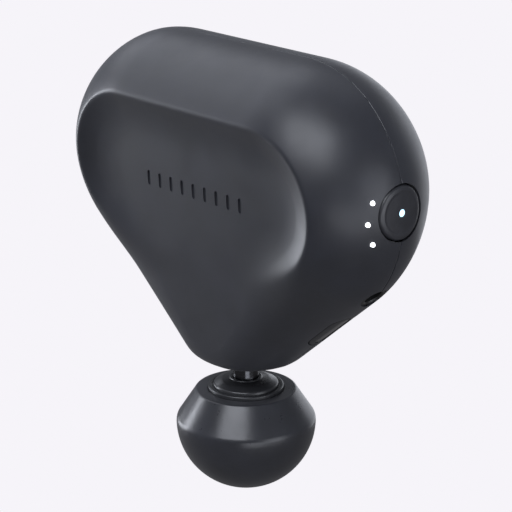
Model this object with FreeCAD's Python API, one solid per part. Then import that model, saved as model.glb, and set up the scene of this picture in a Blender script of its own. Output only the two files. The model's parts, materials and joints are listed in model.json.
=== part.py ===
import FreeCAD, Part
import math
import os

# Compact triangular massage gun, in millimetres. +Z is up, the output shaft runs along Z
# at x = y = 0, the ball's tip is at z = 0, +X is the power button side, -Y is the front.

V = FreeCAD.Vector
Y_AXIS = V(0, 1, 0)
Z_AXIS = V(0, 0, 1)

# Casing
LOBE_X = 28.0
LOBE_Z = 102.9
LOBE_R = 39.0
NOSE_Z = 59.0
NOSE_R = 23.0
NOSE_CUT_Z = 43.1
NOSE_BEVEL = 2.5
NOSE_FACE_R = 14.5
HALF_THICK = 27.5
TAPER_Z = 105.0
TAPER = 0.146
SHOULDER_BLEND = 10.0
ROUND_DEPTH = 24.5
NOSE_ROUND_DEPTH = 12.5
ROUND_POWER = 1.82
WALL = 2.2
SECTIONS = (0.0, 0.28, 0.5, 0.68, 0.82, 0.92, 0.98, 1.0)

# Dished face on each side
DISH_X = 30.0
DISH_Z = 102.3
DISH_R = 23.6
DISH_NOSE_Z = 59.0
DISH_NOSE_R = 9.3
DISH_TOP_Z = 130.0
DISH_TOP_Y = 22.2
DISH_SLOPE = 0.0635
DISH_WALL_RUN = 9.0
DISH_WALL_RISE = 2.8
TICK_COUNT = 9
TICK_PITCH = 5.2
TICK_WIDTH = 1.3
TICK_HEIGHT = 4.6
TICK_DEPTH = 0.5
TICK_Z = 100.0

# Drive: crank axis along Y, stroke along Z
STROKE = 12.0
CRANK_R = STROKE / 2
CRANK_Z = 102.9
ROD_LENGTH = 30.0
PIN_Z = CRANK_Z + CRANK_R
WRIST_Z = PIN_Z - ROD_LENGTH
ROD_HALF = 2.0
PIN_R = 2.0
RUN_CLEAR = 0.05
DISC_Y = 2.8
DISC_T = 2.2
PLATE_Y = 5.4
PLATE_T = 1.6
MOTOR_R = 20.0
MOTOR_Y = 7.0
MOTOR_T = 9.0
MOTOR_SKIN = 1.2
STATOR_BORE_R = 12.0
SHAFT_R = 2.0
BEARING_R = 5.0

# Output shaft and guide
OUT_R = 4.1
OUT_BORE_R = 4.16
OUT_TOP_Z = 69.5
OUT_END_Z = 18.3
GUIDE_R = 9.0
GUIDE_Z0 = 45.6
GUIDE_Z1 = 57.0
BUSH_R = 6.5
BUSH_LENGTH = 4.0
SEAL_R = 8.5

CLEVIS_Y = 4.6
CLEVIS_GAP = 2.4

# Ball head
DETENT_Z = 24.0
DETENT_R = OUT_BORE_R
BALL_R = 21.9
BALL_Z = 21.9
BALL_FLAT_Z = 32.3
BALL_FLAT_R = 15.5
RING_R = 11.85
CORE_R = 8.0
CORE_Z0 = 14.0

# Button, lights, jack and gauge on the right-hand side
BUTTON_Z = 103.9
BUTTON_R = 8.0
BUTTON_HOLE_R = 8.45
LIGHTS = ((64.0, -9.6, 108.3), (63.8, -11.1, 102.3), (63.9, -9.2, 96.2))
LIGHT_R = 0.8
JACK_ANGLE = -44.1
JACK_BORE_R = 2.85
JACK_CHAMBER_R = 3.4
JACK_R = 4.2
JACK_DEPTH = 10.0
GAUGE_X = 39.1
GAUGE_Z = 61.5
GAUGE_ANGLE = -50.4

LIGHT_ANGLE = -25.0
BUTTON_SINK = 0.2
BUTTON_CROWN_R = 21.5
JACK_SINK = 0.6
GAUGE_HALF_LENGTH = 10.0
GAUGE_HALF_WIDTH = 5.0
GAUGE_THICK = 1.5
WINDOW_HALF_LENGTH = 8.5
WINDOW_HALF_WIDTH = 2.0
FLANK_R = 16.0

# Power and fixings
LEAD_R = 1.0
CELL_LEAD = ((36, 0, 130.1), (34.5, -2, 132.6), (28, -7, 134), (18, -10, 132.6), (12, -11.6, 129.6),
             (9, -11.6, 126))
MOTOR_LEAD = ((7.5, 13, 122.6), (7.5, 13, 126.5), (7.5, 8, 130.5), (7.5, 0, 131.8), (6, -7, 131.2),
              (4, -11, 129.2), (2, -11.6, 128.1))
SCREW_R = 1.35
SCREW_PILOT_R = 1.4
SCREW_HOLE_R = 1.6
HEAD_R = 2.6
HEAD_Y = 13.0
CASE_BOSS_R = 3.6
PLATE_POST_Y = 9.0
CELL_X = 36.0
CELL_R = 9.0
CELL_Z0 = 78.0
CELL_Z1 = 128.0
BOARD_Y = -9.6
BOARD_T = 1.6
BOARD_HOLES = ((-21, 93), (21, 93), (-21, 125), (21, 125))
CASE_SCREWS = ((0, 133), (-51, 119), (51, 119), (-22, 70), (22, 70))
PLATE_SCREWS = ((-21, 125.5), (21, 125.5), (-21, 80.3), (21, 80.3))


def rod(radius, start, end):
    """Cylinder between two points."""
    span = end - start
    return Part.makeCylinder(radius, span.Length, start, span)


def tube(outer, inner, start, end):
    return rod(outer, start, end).cut(rod(inner, start, end))


def block(x0, x1, y0, y1, z0, z1):
    return Part.makeBox(x1 - x0, y1 - y0, z1 - z0, V(x0, y0, z0))


def join(solids):
    whole = solids[0]
    for solid in solids[1:]:
        whole = whole.fuse(solid)
    return whole


def fuse_all(solids):
    return join(solids).removeSplitter()


def cut_all(solid, tools):
    for tool in tools:
        solid = solid.cut(tool)
    return solid


def export(name, shape):
    shape.exportStep("parts/" + name + ".step")


def export_group(name, solids):
    Part.makeCompound(solids).exportStep("parts/" + name + ".step")


# ---- Casing ----

def three_lobe(lobe_x, lobe_z, lobe_r, nose_z, nose_r, plane):
    """Closed rounded triangle; plane gives y as a function of z."""
    drop = lobe_z - nose_z
    reach = math.hypot(lobe_x, drop)
    low = math.atan2(drop, lobe_x) - math.pi / 2 - math.asin((lobe_r - nose_r) / reach)
    right = [(lobe_x / 2, lobe_z + lobe_r)]
    for i in range(13):
        turn = math.pi / 2 + (low - math.pi / 2) * i / 12
        right.append((lobe_x + lobe_r * math.cos(turn), lobe_z + lobe_r * math.sin(turn)))
    start = right[-1]
    end = (nose_r * math.cos(low), nose_z + nose_r * math.sin(low))
    for i in range(1, 5):
        part = i / 4
        right.append((start[0] + (end[0] - start[0]) * part, start[1] + (end[1] - start[1]) * part))
    for i in range(1, 5):
        turn = low + (-math.pi / 2 - low) * i / 4
        right.append((nose_r * math.cos(turn), nose_z + nose_r * math.sin(turn)))
    left = [(-x, z) for x, z in reversed(right[:-1])]
    outline = [(0, lobe_z + lobe_r)] + right + left
    curve = Part.BSplineCurve()
    curve.interpolate(Points=[V(x, plane(z), z) for x, z in outline], PeriodicFlag=True)
    return Part.Wire(curve.toShape())


def half_thickness(z):
    """Full above the shoulder, tapering smoothly towards the nose."""
    drop = TAPER_Z - z
    return HALF_THICK - TAPER * (drop + math.sqrt(drop * drop + SHOULDER_BLEND ** 2)) / 2


def pebble_skin(inset):
    """Front half of the casing's outer form, before its nose cut and dish."""
    wires = []
    for t in SECTIONS:
        sag = 1 - (1 - t ** ROUND_POWER) ** (1 / ROUND_POWER)
        lobe_r = LOBE_R - inset - ROUND_DEPTH * sag
        nose_r = NOSE_R - inset - NOSE_ROUND_DEPTH * sag
        wires.append(three_lobe(LOBE_X, LOBE_Z, lobe_r, NOSE_Z, nose_r,
                                lambda z, t=t: -t * (half_thickness(z) - inset)))
    side = Part.makeLoft(wires, False, False)
    seam_face = Part.Face(wires[0])
    crown = Part.makeFilledFace(wires[-1].Edges)
    shell = Part.makeShell(side.Faces + [seam_face, crown])
    shell.sewShape()
    return Part.makeSolid(shell)


def dish_cutter(lift):
    """Sloping-walled cut for the front dish; lift moves its floor inwards."""
    wires = []
    for step in (0, 2):
        shrink = DISH_WALL_RUN * (1 - step)
        rise = DISH_WALL_RISE * step - lift
        plane = lambda z, rise=rise: DISH_SLOPE * (DISH_TOP_Z - z) - DISH_TOP_Y - rise
        wires.append(three_lobe(DISH_X, DISH_Z, DISH_R - shrink, DISH_NOSE_Z, DISH_NOSE_R - shrink, plane))
    return Part.makeLoft(wires, True, True)


def pebble(inset):
    """Front half of the casing form with its nose cut and its dish."""
    whole = pebble_skin(inset)
    whole = whole.cut(block(-60, 60, -40, 1, 0, NOSE_CUT_Z + inset))
    whole = whole.cut(dish_cutter(inset))
    return max(whole.Solids, key=lambda solid: solid.Volume)


def nose_bevel():
    """Waste ring that takes off the nose's bottom edge."""
    waste = Part.makeCylinder(40, NOSE_BEVEL + 1, V(0, 0, NOSE_CUT_Z - 1))
    top_r = NOSE_FACE_R + 2 * NOSE_BEVEL
    cone = Part.makeCone(NOSE_FACE_R - 2, top_r, NOSE_BEVEL + 1, V(0, 0, NOSE_CUT_Z - 1))
    return waste.cut(cone)


def mirror_y(shape):
    return shape.mirror(V(0, 0, 0), Y_AXIS)


def aim(shape, angle, x, z):
    """Turn a shape built along +Z to an angle from +X and set its origin down at (x, 0, z)."""
    shape.rotate(V(0, 0, 0), Y_AXIS, 90 - angle)
    shape.translate(V(x, 0, z))
    return shape


def slab(half_length, half_width, low, high):
    """Round-ended slab, long in X, between two heights."""
    reach = half_length - half_width
    left = rod(half_width, V(-reach, 0, low), V(-reach, 0, high))
    right = rod(half_width, V(reach, 0, low), V(reach, 0, high))
    return fuse_all([block(-reach, reach, -half_width, half_width, low, high), left, right])


def gauge_piece(half_length, half_width, low, high):
    return aim(slab(half_length, half_width, low, high), GAUGE_ANGLE, GAUGE_X, GAUGE_Z)


def flank_round(piece):
    """The piece trimmed to the rounding across the lower right flank."""
    barrel = rod(FLANK_R, V(-30, 0, -FLANK_R), V(30, 0, -FLANK_R))
    return piece.common(aim(barrel, GAUGE_ANGLE, GAUGE_X, GAUGE_Z))


def at_jack(solid):
    """A solid built along +Z set on the charging jack's axis, with its origin at the jack's mouth."""
    turn = math.radians(JACK_ANGLE)
    rim = LOBE_R - JACK_SINK
    return aim(solid, JACK_ANGLE, LOBE_X + rim * math.cos(turn), LOBE_Z + rim * math.sin(turn))


def jack_tube(outer, inner, low, high):
    """Ring on the charging jack's axis; heights are measured outwards from the jack's mouth."""
    solid = rod(outer, V(0, 0, low), V(0, 0, high))
    if inner > 0:
        solid = solid.cut(rod(inner, V(0, 0, low), V(0, 0, high)))
    return at_jack(solid)


def light_rod(x, y, z, radius, low, high):
    """Cylinder through the casing at a speed light."""
    turn = math.radians(LIGHT_ANGLE)
    out = V(math.cos(turn), math.sin(turn), 0)
    centre = V(x, y, z)
    return rod(radius, centre + out * low, centre + out * high)


def ticks():
    """Row of plain upright marks sunk in the front dish."""
    cuts = []
    floor = DISH_SLOPE * (DISH_TOP_Z - TICK_Z) - DISH_TOP_Y
    reach = (TICK_HEIGHT - TICK_WIDTH) / 2
    half = TICK_WIDTH / 2
    for i in range(TICK_COUNT):
        x = (i - (TICK_COUNT - 1) / 2) * TICK_PITCH
        for z in (TICK_Z - reach, TICK_Z + reach):
            cuts.append(rod(half, V(x, floor - 2, z), V(x, floor + TICK_DEPTH, z)))
        cuts.append(block(x - half, x + half, floor - 2, floor + TICK_DEPTH, TICK_Z - reach, TICK_Z + reach))
    return cuts


def column(radius, bore, x, z, y0, bore_end, half):
    """Screw column from y0 out to the casing wall, built on the front side."""
    post = rod(radius, V(x, y0, z), V(x, -30, z)).common(half)
    return post.cut(rod(bore, V(x, y0, z), V(x, bore_end, z)))


def front_shell(outer, inner):
    solids = [outer.cut(inner)]
    solids += [column(CASE_BOSS_R, SCREW_PILOT_R, x, z, 0, -13, outer) for x, z in CASE_SCREWS]
    solids += [column(2.8, SCREW_PILOT_R, x, z, BOARD_Y, -15, outer) for x, z in BOARD_HOLES]
    lights = [light_rod(x, y, z, LIGHT_R, -8, 8) for x, y, z in LIGHTS]
    return cut_all(join(solids), shared_openings() + ticks() + lights)


def rear_shell(outer, inner):
    """Built on the front side, then mirrored across the seam."""
    solids = [outer.cut(inner), block(50.3, 51.8, -30, -3, 95, 112).common(outer)]
    solids += [column(CASE_BOSS_R, SCREW_HOLE_R, x, z, 0, -30, outer) for x, z in CASE_SCREWS]
    solids += [column(3.2, SCREW_PILOT_R, x, z, -PLATE_POST_Y, -16, outer) for x, z in PLATE_SCREWS]
    heads = [rod(HEAD_R, V(x, -HEAD_Y, z), V(x, -30, z)) for x, z in CASE_SCREWS]
    return mirror_y(cut_all(join(solids), shared_openings() + heads))


def shared_openings():
    """Button hole, jack hole and its lead-in, gauge recess and nose hole, each shared by both halves."""
    button = rod(BUTTON_HOLE_R, V(54, 0, BUTTON_Z), V(80, 0, BUTTON_Z))
    nose = rod(SEAL_R, V(0, 0, 30), V(0, 0, GUIDE_Z0))
    gauge = gauge_piece(GAUGE_HALF_LENGTH, GAUGE_HALF_WIDTH, -GAUGE_THICK, 5)
    lead_in = at_jack(Part.makeCone(JACK_R, JACK_R + 3, 3))
    return [button, nose, gauge, jack_tube(JACK_R, 0, -JACK_DEPTH, 0.5), lead_in, nose_bevel()]


def case_screw(x, z):
    shank = rod(SCREW_R, V(x, -12, z), V(x, HEAD_Y, z))
    head = rod(HEAD_R - 0.1, V(x, HEAD_Y, z), V(x, HEAD_Y + 1.8, z))
    return shank.fuse(head)


def screw_plug(x, z, outer):
    peg = rod(HEAD_R, V(x, 0, z), V(x, -30, z)).common(outer)
    return mirror_y(peg.cut(block(-80, 80, -HEAD_Y - 1.8, 1, 0, 150)))


# ---- Drive ----

def chassis():
    """Motor plate, its feet and the guide tube in one casting."""
    y0, y1 = PLATE_Y, PLATE_Y + PLATE_T
    solids = [rod(23, V(0, y0, CRANK_Z), V(0, y1, CRANK_Z))]
    solids.append(block(-9, 9, y0, y1, GUIDE_Z0, CRANK_Z))
    for x, z in PLATE_SCREWS:
        solids.append(rod(4.5, V(x, y0, z), V(x, y1, z)))
        solids.append(block(min(0, x), max(0, x), y0, y1, z - 3, z + 3))
    solids.append(rod(GUIDE_R, V(0, 0, GUIDE_Z0), V(0, 0, GUIDE_Z1)))
    whole = fuse_all(solids)
    cuts = [rod(BEARING_R, V(0, y0 - 1, CRANK_Z), V(0, y1 + 1, CRANK_Z))]
    cuts.append(rod(OUT_R + 0.9, V(0, 0, GUIDE_Z0 - 1), V(0, 0, GUIDE_Z1 + 1)))
    cuts.append(rod(BUSH_R, V(0, 0, GUIDE_Z0), V(0, 0, GUIDE_Z0 + BUSH_LENGTH)))
    cuts.append(rod(BUSH_R, V(0, 0, GUIDE_Z1 - BUSH_LENGTH), V(0, 0, GUIDE_Z1)))
    for x, z in PLATE_SCREWS:
        cuts.append(rod(SCREW_HOLE_R, V(x, y0 - 1, z), V(x, y1 + 1, z)))
    return cut_all(whole, cuts)


def plate_screw(x, z):
    shank = rod(SCREW_R, V(x, PLATE_Y, z), V(x, 15, z))
    head = rod(2.6, V(x, PLATE_Y - 1.6, z), V(x, PLATE_Y, z))
    return shank.fuse(head)


def on_crank(radius, y0, y1):
    return rod(radius, V(0, y0, CRANK_Z), V(0, y1, CRANK_Z))


def motor_can():
    y1 = MOTOR_Y + MOTOR_T
    can = on_crank(MOTOR_R, MOTOR_Y, y1)
    hollow = on_crank(MOTOR_R - MOTOR_SKIN, MOTOR_Y + MOTOR_SKIN, y1 - MOTOR_SKIN)
    return can.cut(hollow).cut(on_crank(BEARING_R, MOTOR_Y - 1, y1 + 1))


def motor_stator():
    """Toothed iron ring round the rotor."""
    y0, y1 = MOTOR_Y + 1.8, MOTOR_Y + MOTOR_T - 1.8
    ring = on_crank(MOTOR_R - MOTOR_SKIN, y0, y1).cut(on_crank(16.5, y0, y1))
    teeth = []
    for i in range(12):
        tooth = block(-1.6, 1.6, y0, y1, STATOR_BORE_R + 0.2, 17)
        tooth.translate(V(0, 0, CRANK_Z))
        tooth.rotate(V(0, 0, CRANK_Z), Y_AXIS, 30 * i)
        teeth.append(tooth)
    return fuse_all([ring] + teeth)


def motor_coils():
    """Twelve windings, one round each stator tooth."""
    y0, y1 = MOTOR_Y + 1.4, MOTOR_Y + MOTOR_T - 1.4
    coils = []
    for i in range(12):
        coil = block(-2.6, 2.6, y0, y1, STATOR_BORE_R + 1.2, 16.2)
        coil = coil.cut(block(-1.6, 1.6, y0 + 0.4, y1 - 0.4, STATOR_BORE_R, 17))
        coil.translate(V(0, 0, CRANK_Z))
        coil.rotate(V(0, 0, CRANK_Z), Y_AXIS, 30 * i)
        coils.append(coil)
    return coils


def motor_bearings():
    end = MOTOR_Y + MOTOR_T
    front = on_crank(BEARING_R, PLATE_Y + 0.1, MOTOR_Y + MOTOR_SKIN)
    rear = on_crank(BEARING_R, end - 1.6, end)
    return [ring.cut(on_crank(SHAFT_R + RUN_CLEAR, 0, 20)) for ring in (front, rear)]


def crank_disc():
    """Disc with its heavy side opposite the crank pin."""
    y0, y1 = DISC_Y, DISC_Y + DISC_T
    disc = on_crank(10, y0, y1)
    weight = on_crank(17, y0, y1).common(block(-20, 20, y0, y1, CRANK_Z - 20, CRANK_Z - 3))
    return disc.fuse(weight).removeSplitter().cut(on_crank(SHAFT_R, 0, 10))


def connecting_rod():
    y0, y1 = -ROD_HALF, ROD_HALF
    big = rod(7.5, V(0, y0, PIN_Z), V(0, y1, PIN_Z))
    small = rod(5, V(0, y0, WRIST_Z), V(0, y1, WRIST_Z))
    shank = block(-3, 3, y0, y1, WRIST_Z, PIN_Z)
    window = block(-1.4, 1.4, y0, y1, WRIST_Z + 8, PIN_Z - 10)
    bores = [rod(5.5, V(0, y0, PIN_Z), V(0, y1, PIN_Z)), rod(3, V(0, y0, WRIST_Z), V(0, y1, WRIST_Z))]
    return cut_all(fuse_all([big, small, shank]), bores + [window])


def output_shaft():
    """Shaft with a two-eared clevis at its top."""
    stem = rod(OUT_R, V(0, 0, OUT_END_Z), V(0, 0, OUT_TOP_Z))
    foot = block(-5, 5, -CLEVIS_Y, CLEVIS_Y, OUT_TOP_Z, OUT_TOP_Z + 3.5)
    solids = [stem, foot]
    for y0, y1 in ((-CLEVIS_Y, -CLEVIS_GAP), (CLEVIS_GAP, CLEVIS_Y)):
        solids.append(block(-5, 5, y0, y1, OUT_TOP_Z, WRIST_Z))
        solids.append(rod(5, V(0, y0, WRIST_Z), V(0, y1, WRIST_Z)))
    groove = tube(OUT_R + 1, OUT_R - 0.6, V(0, 0, DETENT_Z - 0.8), V(0, 0, DETENT_Z + 0.8))
    bore = rod(PIN_R, V(0, -10, WRIST_Z), V(0, 10, WRIST_Z))
    return fuse_all(solids).cut(groove).cut(bore)


# ---- Ball head ----

def turned(points):
    """Solid of revolution about Z from (radius, z) corners."""
    corners = [V(r, 0, z) for r, z in points]
    face = Part.Face(Part.makePolygon(corners + [corners[0]]))
    return face.revolve(V(0, 0, 0), Z_AXIS, 360)


def ball_foam():
    ball = Part.makeSphere(BALL_R, V(0, 0, BALL_Z))
    keep = turned([(0, -1), (30, -1), (30, BALL_Z), (BALL_R - 0.3, BALL_Z + 0.8), (BALL_FLAT_R, BALL_FLAT_Z),
                   (0, BALL_FLAT_Z)])
    socket = rod(CORE_R, V(0, 0, CORE_Z0), V(0, 0, BALL_FLAT_Z))
    return ball.common(keep).cut(socket)


def ball_core():
    """Socket with its rim ring, low dome and neck collar."""
    lip = BALL_FLAT_Z
    profile = [(0, CORE_Z0), (CORE_R, CORE_Z0), (CORE_R, lip), (RING_R, lip), (RING_R, lip + 1.2),
               (10.4, lip + 1.2), (10.2, lip + 2.0), (7.6, lip + 3.1), (4.9, lip + 3.7), (4.9, lip + 3.9),
               (0, lip + 3.9)]
    bore = rod(OUT_BORE_R, V(0, 0, OUT_END_Z - 0.3), V(0, 0, lip + 5))
    groove = rod(DETENT_R + 0.9, V(0, 0, DETENT_Z - 0.7), V(0, 0, DETENT_Z + 0.7))
    return turned(profile).cut(bore).cut(groove)


def detent_ring():
    return tube(DETENT_R + 0.9, OUT_BORE_R, V(0, 0, DETENT_Z - 0.7), V(0, 0, DETENT_Z + 0.7))


# ---- Button, lights, jack and gauge ----

def power_button():
    """Cap that follows the casing, sunk a little, with a dished face and a stem behind."""
    rim = LOBE_X + LOBE_R - BUTTON_SINK
    cap = rod(BUTTON_R, V(60.2, 0, BUTTON_Z), V(80, 0, BUTTON_Z))
    cap = cap.common(rod(rim - LOBE_X, V(LOBE_X, -20, LOBE_Z), V(LOBE_X, 20, LOBE_Z)))
    cap = cap.common(rod(BUTTON_CROWN_R, V(rim - BUTTON_CROWN_R, 0, 80), V(rim - BUTTON_CROWN_R, 0, 130)))
    flange = rod(9.1, V(59, 0, BUTTON_Z), V(60.2, 0, BUTTON_Z))
    stem = rod(2, V(57.7, 0, BUTTON_Z), V(60, 0, BUTTON_Z))
    dish = Part.makeSphere(42, V(66.2 + 42, 0, BUTTON_Z))
    lens = rod(1.1, V(62, 0, BUTTON_Z), V(67, 0, BUTTON_Z))
    solid = fuse_all([cap, flange, stem]).cut(dish)
    return solid.cut(lens), lens.cut(dish)


def jack_socket():
    """Round charging socket: close collar at the mouth, then a wider chamber for the contacts."""
    collar = jack_tube(JACK_R, JACK_BORE_R, -3, 0)
    barrel = jack_tube(JACK_R, JACK_CHAMBER_R, -JACK_DEPTH + 1, -3)
    back = jack_tube(JACK_R, 1.0, -JACK_DEPTH, -JACK_DEPTH + 1)
    return fuse_all([collar, barrel, back])


# ---- Power ----

def cell(x):
    can = rod(CELL_R, V(x, 0, CELL_Z0), V(x, 0, CELL_Z1))
    return can.fuse(rod(3, V(x, 0, CELL_Z1), V(x, 0, CELL_Z1 + 1)))


def cradle(x):
    saddle = block(x - 7, x + 7, 4, 15.4, 88, 118)
    return saddle.cut(rod(CELL_R, V(x, 0, 80), V(x, 0, 125)))


def main_board():
    board = block(-24, 24, BOARD_Y, BOARD_Y + BOARD_T, 90, 128)
    holes = [rod(SCREW_R, V(x, -12, z), V(x, 0, z)) for x, z in BOARD_HOLES]
    return cut_all(board, holes)


def board_parts():
    """Driver chip, six power switches, two capacitors and the lead sockets."""
    solids = [block(-5, 5, BOARD_Y - 1.2, BOARD_Y, 104, 114)]
    for i in range(6):
        x = -15 + 6 * i
        solids.append(block(x - 2, x + 2, BOARD_Y - 1, BOARD_Y, 96, 101))
    for x in (-13, 13):
        solids.append(rod(3, V(x, BOARD_Y - 5, 112), V(x, BOARD_Y, 112)))
    solids.append(block(-6, 6, BOARD_Y - 4, BOARD_Y, 122, 127))
    return solids


def board_screw(x, z):
    shank = rod(SCREW_R, V(x, -14, z), V(x, BOARD_Y + BOARD_T, z))
    head = rod(2.2, V(x, BOARD_Y + BOARD_T, z), V(x, BOARD_Y + BOARD_T + 1.4, z))
    return shank.fuse(head)


def lead(points):
    """Round cable along a smooth path."""
    curve = Part.BSplineCurve()
    curve.interpolate([V(*p) for p in points])
    path = Part.Wire(curve.toShape())
    ring = Part.Wire(Part.makeCircle(LEAD_R, V(*points[0]), curve.tangent(0)[0]))
    return path.makePipeShell([ring], True, False)


def cell_leads():
    """One lead from the top of each cell to the main board."""
    leads = []
    for side in (-1, 1):
        leads.append(lead([(side * x, y, z) for x, y, z in CELL_LEAD]))
    return leads


def main():
    os.makedirs("parts", exist_ok=True)
    outer = pebble(0)
    inner = pebble(WALL)

    export("front_shell", front_shell(outer, inner))
    export("rear_shell", rear_shell(outer, inner))
    export_group("case_screws", [case_screw(x, z) for x, z in CASE_SCREWS])
    export_group("screw_plugs", [screw_plug(x, z, outer) for x, z in CASE_SCREWS])
    export("nose_seal", tube(SEAL_R, OUT_R + 0.35, V(0, 0, NOSE_CUT_Z), V(0, 0, GUIDE_Z0)))

    export("drive_chassis", chassis())
    bushes = []
    for z in (GUIDE_Z0, GUIDE_Z1 - BUSH_LENGTH):
        bushes.append(tube(BUSH_R, OUT_BORE_R, V(0, 0, z), V(0, 0, z + BUSH_LENGTH)))
    export_group("shaft_bushings", bushes)
    export_group("chassis_screws", [plate_screw(x, z) for x, z in PLATE_SCREWS])
    y1 = PLATE_Y + PLATE_T
    grommets = [tube(4, SCREW_HOLE_R, V(x, y1, z), V(x, PLATE_POST_Y, z)) for x, z in PLATE_SCREWS]
    export_group("chassis_grommets", grommets)
    export("motor_can", motor_can())
    export("motor_stator", motor_stator())
    export_group("motor_coils", motor_coils())
    export_group("motor_bearings", motor_bearings())
    rotor = on_crank(STATOR_BORE_R - 0.5, MOTOR_Y + 2, MOTOR_Y + MOTOR_T - 2)
    export("motor_rotor", rotor.cut(on_crank(SHAFT_R, 0, 20)))
    export("motor_shaft", on_crank(SHAFT_R, DISC_Y, MOTOR_Y + MOTOR_T - 0.2))
    export("crank_disc", crank_disc())
    export("connecting_rod", connecting_rod())
    export("crank_pin", rod(PIN_R, V(0, -ROD_HALF, PIN_Z), V(0, DISC_Y - 0.3, PIN_Z)))
    export("big_end_bearing", tube(5.5, PIN_R, V(0, -ROD_HALF, PIN_Z), V(0, ROD_HALF, PIN_Z)))
    small_bush = tube(3, PIN_R + RUN_CLEAR, V(0, -ROD_HALF, WRIST_Z), V(0, ROD_HALF, WRIST_Z))
    export("small_end_bush", small_bush)
    export("output_shaft", output_shaft())
    export("wrist_pin", rod(PIN_R, V(0, -CLEVIS_Y, WRIST_Z), V(0, CLEVIS_Y, WRIST_Z)))

    export("ball_foam", ball_foam())
    export("ball_core", ball_core())
    export("detent_ring", detent_ring())

    button, button_lens = power_button()
    export("power_button", button)
    export("button_lens", button_lens)
    lights = [light_rod(x, y, z, LIGHT_R, -3, 8).common(outer) for x, y, z in LIGHTS]
    export_group("speed_lights", lights)
    export("button_board", block(51.8, 53.4, -9, 9, 94, 114))
    switch = block(53.4, 56.6, -3, 3, BUTTON_Z - 3, BUTTON_Z + 3)
    export("tact_switch", switch.fuse(rod(1.6, V(56.6, 0, BUTTON_Z), V(57.1, 0, BUTTON_Z))))
    export("charge_jack", jack_socket())
    export("jack_pin", jack_tube(1.0, 0, -JACK_DEPTH, -3.6))
    bezel = flank_round(gauge_piece(GAUGE_HALF_LENGTH, GAUGE_HALF_WIDTH, -GAUGE_THICK, 5))
    export("gauge_bezel", bezel.cut(gauge_piece(WINDOW_HALF_LENGTH, WINDOW_HALF_WIDTH, -1.0, 6)))
    window = gauge_piece(WINDOW_HALF_LENGTH, WINDOW_HALF_WIDTH, -1.0, 5)
    export("gauge_window", flank_round(window))

    export_group("battery_cells", [cell(-CELL_X), cell(CELL_X)])
    export_group("cell_cradles", [cradle(-CELL_X), cradle(CELL_X)])
    export("main_board", main_board())
    export_group("board_parts", board_parts())
    export_group("board_screws", [board_screw(x, z) for x, z in BOARD_HOLES])
    export_group("cell_leads", cell_leads())
    export("motor_lead", lead(MOTOR_LEAD))


main()
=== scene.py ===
import json
import math

import bmesh
import bpy
import numpy as np
from mathutils import Matrix, Vector
from mathutils.bvhtree import BVHTree

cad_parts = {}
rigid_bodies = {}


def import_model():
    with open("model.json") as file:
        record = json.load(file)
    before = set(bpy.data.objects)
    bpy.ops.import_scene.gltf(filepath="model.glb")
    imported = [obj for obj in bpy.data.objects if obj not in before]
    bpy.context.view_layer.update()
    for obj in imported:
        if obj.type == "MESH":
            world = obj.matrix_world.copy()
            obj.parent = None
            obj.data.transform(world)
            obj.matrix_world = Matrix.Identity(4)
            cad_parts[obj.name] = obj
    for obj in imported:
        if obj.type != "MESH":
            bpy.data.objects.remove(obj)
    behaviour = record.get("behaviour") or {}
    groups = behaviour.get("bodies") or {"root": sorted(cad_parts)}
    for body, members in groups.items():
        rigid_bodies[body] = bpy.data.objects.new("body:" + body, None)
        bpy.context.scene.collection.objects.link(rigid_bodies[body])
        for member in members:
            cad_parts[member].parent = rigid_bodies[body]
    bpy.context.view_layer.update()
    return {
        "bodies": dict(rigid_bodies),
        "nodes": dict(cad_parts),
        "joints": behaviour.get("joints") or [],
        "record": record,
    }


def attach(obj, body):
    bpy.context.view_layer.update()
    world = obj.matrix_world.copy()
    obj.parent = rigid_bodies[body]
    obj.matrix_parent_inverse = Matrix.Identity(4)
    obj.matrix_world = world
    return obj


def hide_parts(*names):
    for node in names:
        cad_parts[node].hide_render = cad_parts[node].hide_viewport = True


# A compact triangular massage gun. Lengths are in metres; MM turns millimetres into metres.
MM = 0.001

# Casing form, in millimetres
LOBE_X, LOBE_Z, LOBE_R = 28.0, 102.9, 39.0
NOSE_Z, NOSE_R, NOSE_CUT = 59.0, 23.0, 43.1
NOSE_SOFTNESS = 4.5
ROUND_DEPTH, NOSE_ROUND_DEPTH, ROUND_POWER = 24.5, 12.5, 1.82
HALF_THICK, TAPER_Z, TAPER, TAPER_BLEND = 27.5, 105.0, 0.146, 10.0
WALL = 2.2
DISH_X, DISH_Z, DISH_R, DISH_NOSE_Z, DISH_NOSE_R = 30.0, 102.3, 23.6, 59.0, 9.3
DISH_TOP_Z, DISH_TOP_Y, DISH_SLOPE = 130.0, 22.2, 0.0635
DISH_CENTRE_Z = 97.0
DISH_WIDTH, DISH_RISE, RIM_SOFTNESS = 14.0, 3.7, 1.5
FADE_TOP, FADE_RUN, FADE_SOFTNESS = 92.0, 26.0, 11.0
SEAM_HALF, SEAM_DIP = 0.06, 0.22

# Openings
BUTTON_Z, BUTTON_HOLE_R, BUTTON_SINK = 103.9, 8.45, 0.15
LIGHTS = ((64.0, -9.6, 108.3), (63.8, -11.1, 102.3), (63.9, -9.2, 96.2))
LIGHT_R, LIGHT_TURN = 0.72, -25.0
JACK_TURN, JACK_R, JACK_BORE_R = -44.1, 4.2, 2.85
GAUGE_TURN, GAUGE_X, GAUGE_Z = -50.4, 39.1, 61.5
SEAL_R = 8.5
CASE_SCREWS = ((0, 133), (-51, 119), (51, 119), (-22, 70), (22, 70))
PLUG_R = 2.6
TICKS, TICK_PITCH, TICK_WIDTH, TICK_HEIGHT, TICK_Z = 9, 5.2, 1.3, 4.6, 100.0

# Shaft and ball head
SHAFT_R, SHAFT_TOP, SHAFT_END, WRIST_Z = 4.1, 69.5, 18.3, 78.9
BALL_R, BALL_FLAT_Z = 21.9, 32.3

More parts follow.
